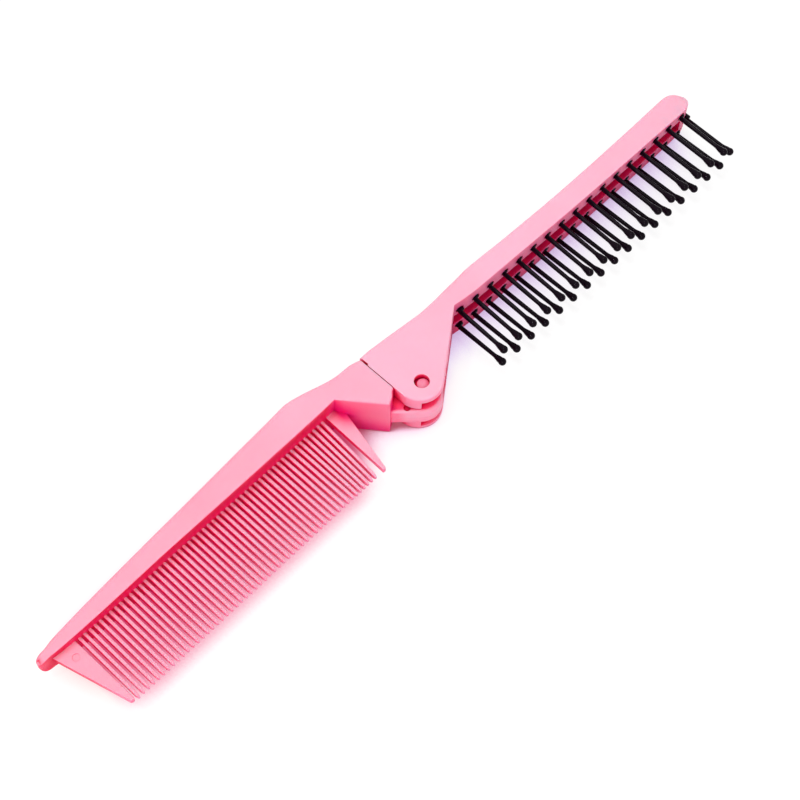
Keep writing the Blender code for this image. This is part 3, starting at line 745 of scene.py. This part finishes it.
def brush_body():
    """Ears, neck and body of the brush."""
    fillets = (FRONT_FILLET, BACK_FILLET)
    seam = SEAM_GAP - SEAM_SETBACK
    tangent_x, tangent_y, angle = ear_tangent()
    start = math.acos((seam - EAR_SHIFT_X) / EAR_RADIUS)
    end = math.acos((tangent_x - EAR_SHIFT_X) / EAR_RADIUS)
    stations = []
    count = ROUND_SIDES // 2
    for i in range(count + 1):
        turn = start + (end - start) * i / count
        x = EAR_SHIFT_X + EAR_RADIUS * math.cos(turn)
        y = EAR_SHIFT_Y - EAR_RADIUS * math.sin(turn)
        stations.append(((x, y), (x, brush_back(x)), HALF_THICKNESS, HINGE_FILLET, BACK_FILLET, 0.0))
    for x in spaced(tangent_x, NECK_CORNER_X)[1:]:
        y = tangent_y + (x - tangent_x) * math.tan(angle)
        front_fillet = hinge_fillet((NECK_CORNER_X - x) / (NECK_CORNER_X - tangent_x))
        half = brush_half_thickness(x)
        stations.append(((x, y), (x, brush_back(x)), half, front_fillet, BACK_FILLET, 0.0))
    tip = BRUSH_REACH - TIP_LENGTH
    for x in spaced(NECK_CORNER_X, tip)[1:]:
        stations.append(((x, face_height(x)), (x, brush_back(x)), brush_half_thickness(x), *fillets, 0.0))
    section = (face_height(tip), brush_back(tip), brush_half_thickness(tip))
    stations += end_stations(tip, 1, TIP_LENGTH, section, fillets, 0.0, TIP_CORNER_SHARE, TIP_BLUNTNESS)
    bm = bmesh.new()
    add_body(bm, stations)
    return solid("brush_body", bm)


def slot_radius():
    return HUB_RADIUS + math.hypot(HUB_SHIFT_X, HUB_SHIFT_Y) + SWING_GAP


def fork_slot():
    """Room between the ears for the tongue."""
    radius = slot_radius()
    angle = neck_edge()[2]
    outline = [(SEAM_GAP - SEAM_SETBACK - OVERRUN, radius)]
    for i in range(ROUND_SIDES + 1):
        at = RIGHT_ANGLE - angle * i / ROUND_SIDES
        outline.append((radius * math.cos(at), radius * math.sin(at)))
    low = EAR_RADIUS + OVERRUN
    outline.append((outline[-1][0] + (outline[-1][1] + low) / math.tan(angle), -low))
    outline.append((outline[0][0], -low))
    reach = TONGUE_HALF + TONGUE_GAP
    bm = bmesh.new()
    add_prism(bm, outline, -reach, reach)
    return solid("fork_slot", bm)


def seam_notch():
    """Step at the back of the ears' end face, where the seam is wider."""
    seam = SEAM_GAP - SEAM_SETBACK
    foot = BACK_HEIGHT - SEAM_NOTCH_LENGTH
    wide = seam + SEAM_NOTCH_WIDTH
    top = BACK_HEIGHT + OVERRUN
    outline = [(seam - OVERRUN, foot), (wide, foot), (wide, top), (seam - OVERRUN, top)]
    bm = bmesh.new()
    add_prism(bm, outline, -HALF_THICKNESS - OVERRUN, HALF_THICKNESS + OVERRUN)
    return solid("seam_notch", bm)


def ear_pockets():
    """Hollows round the bosses, which leave a thin skin above and below."""
    angle = neck_edge()[2]
    start = 2 * math.pi * (POCKET_START_SHARE - 1)
    end = RIGHT_ANGLE - angle
    outline = []
    for i in range(ROUND_SIDES + 1):
        at = start + (end - start) * i / ROUND_SIDES
        outline.append((BOSS_RADIUS * math.cos(at), BOSS_RADIUS * math.sin(at)))
    radius = slot_radius() - POCKET_STEP
    top = Vector((radius * math.cos(end), radius * math.sin(end)))
    outline.append(tuple(top))
    low = EAR_RADIUS + OVERRUN
    outline.append((top.x + (top.y + low) / math.tan(angle), -low))
    outline.append((low * math.cos(start) / abs(math.sin(start)), -low))
    reach = HALF_THICKNESS - EAR_SKIN
    bm = bmesh.new()
    add_prism(bm, outline, -reach, reach)
    return solid("ear_pockets", bm)


def groove():
    """Channel along the pin face, from the fork slot to near the tip."""
    tangent_x, tangent_y, angle = ear_tangent()
    end = BRUSH_REACH - GROOVE_END
    inward = Vector((-math.sin(angle), math.cos(angle))) * GROOVE_DEPTH
    floor = [Vector((tangent_x, tangent_y)) + inward, Vector((NECK_CORNER_X, NECK_CORNER_Y)) + inward]
    floor += [Vector((x, face_height(x) + GROOVE_DEPTH)) for x in spaced(NECK_CORNER_X + EMBED, end)]
    below = -(EAR_RADIUS + OVERRUN)
    outline = [(tangent_x, below)] + [tuple(point) for point in floor] + [(end, below)]
    bm = bmesh.new()
    add_prism(bm, outline, -GROOVE_HALF, GROOVE_HALF)
    return solid("groove", bm)


def pin_places():
    """Name, place, lean and toe-in of each ball pin, each at its foot's front."""
    last = BRUSH_REACH - PIN_ROW_END
    pitch = (last - PIN_START) / (PIN_PAIRS - 1)
    second = PIN_START + pitch
    slope = (face_height(last) - face_height(second)) / (last - second)
    lean = math.atan(slope)
    toe = math.asin((PIN_ROW_HALF - PIN_TIP_ROW_HALF) / PIN_LENGTH)
    places = []
    for i in range(PIN_PAIRS):
        x = PIN_START + pitch * i
        y = face_height(second) + slope * (x - second)
        places.append((f"pin_upper_{i + 1:02d}", Vector((x, y, PIN_ROW_HALF)), lean, toe))
        places.append((f"pin_lower_{i + 1:02d}", Vector((x, y, -PIN_ROW_HALF)), lean, -toe))
    x = BRUSH_REACH - END_PIN_SETBACK
    places.append(("pin_end", Vector((x, face_height(second) + slope * (x - second), 0.0)), lean, 0.0))
    return places


def pin_matrix(at, lean, toe):
    return Matrix.Translation(at) @ Euler((toe, 0.0, lean)).to_matrix().to_4x4()


def oval(half_length, half_width, sides, x):
    return [(x + half_length * along, half_width * across) for along, across in circle(1.0, sides)]


def pin_sockets():
    """Blind holes for the pins' feet."""
    outline = oval(FOOT_HALF_LENGTH + FOOT_GAP, FOOT_HALF_WIDTH + FOOT_GAP, SOCKET_SIDES, FOOT_OFFSET)
    bm = bmesh.new()
    for _, at, lean, toe in pin_places():
        matrix = pin_matrix(at, lean, toe)
        rings = []
        for y in (FOOT_DEPTH + FOOT_GAP, -OVERRUN):
            rings.append([matrix @ Vector((x, y, z)) for x, z in outline])
        add_loft(bm, rings)
    return solid("pin_sockets", bm)


def ball_pin():
    """Pin along -Y: an oval foot beside the stem's root, a tapering stem and a drop-shaped ball."""
    foot = oval(FOOT_HALF_LENGTH, FOOT_HALF_WIDTH, PIN_SIDES, FOOT_OFFSET)
    stem = circle(PIN_STEM_RADIUS, PIN_SIDES)
    rings = [(FOOT_DEPTH, foot), (-FOOT_RISE * FOOT_EDGE_SHARE, foot)]
    for i in range(1, FOOT_STEPS + 1):
        turn = RIGHT_ANGLE * i / FOOT_STEPS
        share = math.cos(turn)
        ring = [
            (x1 + (x0 - x1) * share, z1 + (z0 - z1) * share)
            for (x0, z0), (x1, z1) in zip(foot, stem)
        ]
        sink = FOOT_EDGE_SHARE + (1 - FOOT_EDGE_SHARE) * math.sin(turn)
        rings.append((-FOOT_RISE * sink, ring))
    neck = PIN_DROP_LENGTH - PIN_LENGTH
    for i in range(1, STEM_STEPS + 1):
        t = i / STEM_STEPS
        radius = PIN_STEM_RADIUS + (PIN_NECK_RADIUS - PIN_STEM_RADIUS) * t
        rings.append((-FOOT_RISE + (neck + FOOT_RISE) * t, circle(radius, PIN_SIDES)))
    shoulder_turn = math.asin(SHOULDER_SHARE)
    shoulder = PIN_BALL_RADIUS * math.cos(shoulder_turn)
    drop = PIN_DROP_LENGTH - PIN_BALL_RADIUS * SHOULDER_SHARE
    for i in range(1, SHOULDER_STEPS + 1):
        t = i / SHOULDER_STEPS
        radius = PIN_NECK_RADIUS + (shoulder - PIN_NECK_RADIUS) * t * t * (3 - 2 * t)
        rings.append((neck - drop * t, circle(radius, PIN_SIDES)))
    sweep = shoulder_turn + RIGHT_ANGLE * BALL_END_SHARE
    for i in range(1, BALL_STEPS + 1):
        turn = shoulder_turn - sweep * i / BALL_STEPS
        y = PIN_BALL_RADIUS * math.sin(turn) - PIN_LENGTH
        rings.append((y, circle(PIN_BALL_RADIUS * math.cos(turn), PIN_SIDES)))
    bm = bmesh.new()
    add_loft(bm, [[(x, y, z) for x, z in ring] for y, ring in rings])
    return bm


def hinge_pin():
    """Pin whose ends narrow to a smaller flat. The upper one is off the pin's axis."""
    radius = BORE_RADIUS - HINGE_PIN_GAP
    reach = HALF_THICKNESS - HINGE_PIN_RECESS
    slope = HINGE_PIN_SLOPE
    half_chamfer = HINGE_PIN_CHAMFER / 2
    stations = [
        (-reach, HINGE_PIN_END_RADIUS, (0.0, 0.0)),
        (slope - reach, radius, (0.0, 0.0)),
        (reach - slope, radius, (0.0, 0.0)),
        (reach - HINGE_PIN_CHAMFER, HINGE_PIN_END_RADIUS + half_chamfer, HINGE_PIN_END_AT),
        (reach, HINGE_PIN_END_RADIUS - half_chamfer, HINGE_PIN_END_AT),
    ]
    rings = [[(x, y, z) for x, y in circle(size, ROUND_SIDES, *middle)] for z, size, middle in stations]
    bm = bmesh.new()
    add_loft(bm, rings)
    return solid("hinge_pin_look", bm)


def new_material(name):
    material = bpy.data.materials.new(name)
    material.use_nodes = True
    return material, material.node_tree


def noise(tree, scale, detail, low=0.0, high=1.0):
    """Noise in the object's own space, and the same spread from low to high."""
    place_node = tree.nodes.new("ShaderNodeTexCoord")
    texture = tree.nodes.new("ShaderNodeTexNoise")
    texture.inputs["Scale"].default_value = scale
    texture.inputs["Detail"].default_value = detail
    tree.links.new(place_node.outputs["Object"], texture.inputs["Vector"])
    return texture.outputs["Fac"], ranged(tree, texture.outputs["Fac"], *NOISE_SPAN, low, high)


def ranged(tree, value, low, high, to_low, to_high, smooth=False):
    node = tree.nodes.new("ShaderNodeMapRange")
    node.interpolation_type = "SMOOTHSTEP" if smooth else "LINEAR"
    for name, number in (("From Min", low), ("From Max", high), ("To Min", to_low), ("To Max", to_high)):
        node.inputs[name].default_value = number
    tree.links.new(value, node.inputs["Value"])
    return node.outputs["Result"]


def math_node(tree, operation, *values):
    node = tree.nodes.new("ShaderNodeMath")
    node.operation = operation
    for socket, value in zip(node.inputs, values):
        if isinstance(value, (int, float)):
            socket.default_value = value
        else:
            tree.links.new(value, socket)
    return node.outputs[0]


def mixed(tree, share, one, other):
    """Colour between two, each a colour or a socket."""
    node = tree.nodes.new("ShaderNodeMix")
    node.data_type = "RGBA"
    tree.links.new(share, node.inputs["Factor"])
    for socket, value in ((node.inputs[6], one), (node.inputs[7], other)):
        if isinstance(value, tuple):
            socket.default_value = (*value, 1.0)
        else:
            tree.links.new(value, socket)
    return node.outputs[2]


def toned(tree, share, stops):
    """Colour along a ramp of (place, colour) stops."""
    node = tree.nodes.new("ShaderNodeValToRGB")
    ramp = node.color_ramp
    while len(ramp.elements) < len(stops):
        ramp.elements.new(1.0)
    for element, (place_share, colour) in zip(ramp.elements, stops):
        element.position = place_share
        element.color = (*colour, 1.0)
    tree.links.new(share, node.inputs["Fac"])
    return node.outputs["Color"]


def openness(tree, distance, samples):
    """How open a point is to its surroundings, from 0 in a crease to 1."""
    node = tree.nodes.new("ShaderNodeAmbientOcclusion")
    node.samples = samples
    node.inputs["Distance"].default_value = distance
    return node.outputs["AO"]


def pink_plastic(name, first, zones):
    """Satin pink plastic, whose sides take a painted shade of deeper, redder pink than its faces, deepest in
    creases.
    """
    material, tree = new_material(name)
    shader = tree.nodes["Principled BSDF"]
    links = tree.links
    shader.inputs["Specular IOR Level"].default_value = PINK_SPECULAR
    shader.inputs["Subsurface Weight"].default_value = SUBSURFACE_SHARE
    shader.inputs["Subsurface Radius"].default_value = SUBSURFACE_RADIUS
    shader.inputs["Subsurface Scale"].default_value = SUBSURFACE_SCALE
    # Openness drives the painted shade: the more closed in a point is, the deeper and redder its pink
    open_share = openness(tree, AO_REACH, AO_SAMPLES)
    geometry = tree.nodes.new("ShaderNodeNewGeometry")
    parts = tree.nodes.new("ShaderNodeSeparateXYZ")
    links.new(geometry.outputs["Normal"], parts.inputs[0])
    upright = math_node(tree, "ABSOLUTE", parts.outputs["Z"])
    place_node = tree.nodes.new("ShaderNodeTexCoord")
    at = tree.nodes.new("ShaderNodeSeparateXYZ")
    links.new(place_node.outputs["Object"], at.inputs[0])
    _, cloud = noise(tree, CLOUD_SCALE, 2.0)
    tip_shade_share = ranged(tree, at.outputs["Y"], *TOOTH_TIP_SHADE_SPAN, 0.0, 1.0)

    # Each zone gives its face colours, the painted shade on its sides, and the share at which faces keep
    # their own colour
    def looks(tops, stops, gate, tip=None):
        zone_side_shade = toned(tree, open_share, stops)
        if tip:
            zone_side_shade = mixed(tree, tip_shade_share, zone_side_shade, tip)
        zone_unshaded = ranged(tree, open_share, *gate, 0.0, 1.0, smooth=True)
        return mixed(tree, cloud, *tops), zone_side_shade, zone_unshaded

    top, side, unshaded = looks(*first)
    for start, end, zone in zones:
        share = ranged(tree, at.outputs["X"], start, end, 0.0, 1.0)
        zone_top, zone_side_shade, zone_unshaded = looks(*zone)
        top = mixed(tree, share, top, zone_top)
        side = mixed(tree, share, side, zone_side_shade)
        kept = math_node(tree, "MULTIPLY", unshaded, math_node(tree, "SUBTRACT", 1.0, share))
        unshaded = math_node(tree, "ADD", kept, math_node(tree, "MULTIPLY", zone_unshaded, share))
    # Faces that point up or down and are open keep their own colour; sides and creases take the painted shade
    upright_share = ranged(tree, upright, *UPRIGHT_SPAN, 0.0, 1.0, smooth=True)
    facing = math_node(tree, "MULTIPLY", upright_share, unshaded)
    links.new(mixed(tree, facing, side, top), shader.inputs["Base Color"])
    grain, roughness = noise(tree, GRAIN_SCALE, 2.0, *PINK_ROUGHNESS)
    links.new(roughness, shader.inputs["Roughness"])
    edge = tree.nodes.new("ShaderNodeBevel")
    edge.samples = BEVEL_SAMPLES
    edge.inputs["Radius"].default_value = BEVEL_RADIUS
    bump = tree.nodes.new("ShaderNodeBump")
    bump.inputs["Strength"].default_value = BUMP_STRENGTH
    bump.inputs["Distance"].default_value = BUMP_DISTANCE
    links.new(grain, bump.inputs["Height"])
    links.new(edge.outputs["Normal"], bump.inputs["Normal"])
    links.new(bump.outputs["Normal"], shader.inputs["Normal"])
    return material


def pin_plastic():
    """Glossy black nylon with faint flow marks."""
    material, tree = new_material("black_pin")
    shader = tree.nodes["Principled BSDF"]
    shader.inputs["Specular IOR Level"].default_value = PIN_SPECULAR
    _, cloud = noise(tree, PIN_CLOUD_SCALE, 3.0)
    _, roughness = noise(tree, PIN_SHEEN_SCALE, 2.0, *PIN_ROUGHNESS)
    tree.links.new(mixed(tree, cloud, *PIN_BLACKS), shader.inputs["Base Color"])
    tree.links.new(roughness, shader.inputs["Roughness"])
    return material


def seen_directly(tree):
    """1 for camera, glossy and transmission rays."""
    paths = tree.nodes.new("ShaderNodeLightPath")
    seen = math_node(tree, "MAXIMUM", paths.outputs["Is Camera Ray"], paths.outputs["Is Glossy Ray"])
    return math_node(tree, "MAXIMUM", seen, paths.outputs["Is Transmission Ray"])


def add_stage():
    """Pale floor and world, whose white comes from camera rays and not from more light. Camera rays on the
    floor also show a painted shadow, tinted by how closed in the floor is.
    """
    bpy.ops.mesh.primitive_plane_add(size=4.0)
    floor = bpy.context.object
    floor.name = "floor"
    material, tree = new_material("floor")
    tree.nodes.remove(tree.nodes["Principled BSDF"])
    geometry = tree.nodes.new("ShaderNodeNewGeometry")
    parts = tree.nodes.new("ShaderNodeSeparateXYZ")
    tree.links.new(geometry.outputs["Position"], parts.inputs[0])
    # Painted shadow: the floor's glow is tinted red, pink or lilac where the floor is closed in, in zones
    # along X
    open_share = openness(tree, FLOOR_AO_REACH, FLOOR_AO_SAMPLES)
    painted_shadow_tint = toned(tree, open_share, NOSE_SHADOW)
    for start, end, stops in FLOOR_ZONES:
        share = ranged(tree, parts.outputs["X"], start, end, 0.0, 1.0)
        painted_shadow_tint = mixed(tree, share, painted_shadow_tint, toned(tree, open_share, stops))
    plain = tree.nodes.new("ShaderNodeBsdfDiffuse")
    plain.inputs["Color"].default_value = (*FLOOR_WHITE, 1.0)
    shade = tree.nodes.new("ShaderNodeBsdfDiffuse")
    shade.inputs["Color"].default_value = (*FLOOR_SHADE, 1.0)
    glow = tree.nodes.new("ShaderNodeEmission")
    tree.links.new(painted_shadow_tint, glow.inputs["Color"])
    glow.inputs["Strength"].default_value = FLOOR_GLOW
    tinted = tree.nodes.new("ShaderNodeAddShader")
    tree.links.new(shade.outputs[0], tinted.inputs[0])
    tree.links.new(glow.outputs[0], tinted.inputs[1])
    choice = tree.nodes.new("ShaderNodeMixShader")
    tree.links.new(seen_directly(tree), choice.inputs[0])
    tree.links.new(plain.outputs[0], choice.inputs[1])
    tree.links.new(tinted.outputs[0], choice.inputs[2])
    tree.links.new(choice.outputs[0], tree.nodes["Material Output"].inputs["Surface"])
    floor.data.materials.append(material)

    world = bpy.data.worlds.new("studio")
    world.use_nodes = True
    bpy.context.scene.world = world
    tree = world.node_tree
    background = tree.nodes["Background"]
    background.inputs["Color"].default_value = (1.0, 1.0, 1.0, 1.0)
    level = ranged(tree, seen_directly(tree), 0.0, 1.0, WORLD_LIGHT, 1.0)
    tree.links.new(level, background.inputs["Strength"])


def add_lamp(name, at, size, power):
    """Round lamp that faces the middle of the part."""
    data = bpy.data.lights.new(name, "AREA")
    data.shape = "DISK"
    data.size = size
    data.energy = power
    lamp = bpy.data.objects.new(name, data)
    bpy.context.scene.collection.objects.link(lamp)
    lamp.location = at
    lamp.rotation_mode = "QUATERNION"
    lamp.rotation_quaternion = (-Vector(at)).to_track_quat("-Z", "Y")


def add_camera():
    azimuth, elevation = math.radians(CAMERA_AZIMUTH), math.radians(CAMERA_ELEVATION)
    roll = math.radians(CAMERA_ROLL)
    back = Vector((
        math.sin(azimuth) * math.cos(elevation),
        -math.cos(azimuth) * math.cos(elevation),
        math.sin(elevation),
    ))
    right = (-back).cross(Vector((0.0, 0.0, 1.0))).normalized()
    up = right.cross(-back)
    across = right * math.cos(roll) + up * math.sin(roll)
    above = -right * math.sin(roll) + up * math.cos(roll)
    data = bpy.data.cameras.new("camera")
    data.lens = LENS
    data.sensor_width = 36.0
    data.clip_start = 0.01
    camera = bpy.data.objects.new("camera", data)
    bpy.context.scene.collection.objects.link(camera)
    turn = Matrix((across, above, back)).transposed().to_4x4()
    camera.matrix_world = Matrix.Translation(Vector(CAMERA_TARGET) + back * CAMERA_DISTANCE) @ turn
    bpy.context.scene.camera = camera


bpy.context.scene.view_settings.view_transform = "Standard"
add_camera()
add_stage()
for lamp in LAMPS:
    add_lamp(*lamp)

comb_pink = pink_plastic("comb_pink", COMB_FIRST, COMB_ZONES)
brush_pink = pink_plastic("brush_pink", BRUSH_FIRST, BRUSH_ZONES)
black = pin_plastic()

comb = comb_spine()
combine(comb, comb_plate(), "UNION")
combine(comb, tongue(), "UNION")
combine(comb, comb_marks(), "DIFFERENCE")
comb.name = "comb_moulding"
polish(comb)
place(comb, "comb_frame", "comb_half", comb_pink)

brush = brush_body()
for cutter in (fork_slot, seam_notch, ear_pockets, groove, pin_sockets, bore):
    combine(brush, cutter(), "DIFFERENCE")
brush.name = "brush_moulding"
polish(brush)
place(brush, "brush_frame", "brush_half", brush_pink)

pin = hinge_pin()
polish(pin)
place(pin, "hinge_pin", "brush_half", brush_pink)

for node, at, lean, toe in pin_places():
    item = solid("ball_" + node, ball_pin())
    item.data.transform(pin_matrix(at, lean, toe))
    item.data.shade_smooth()
    place(item, node, "brush_half", black)
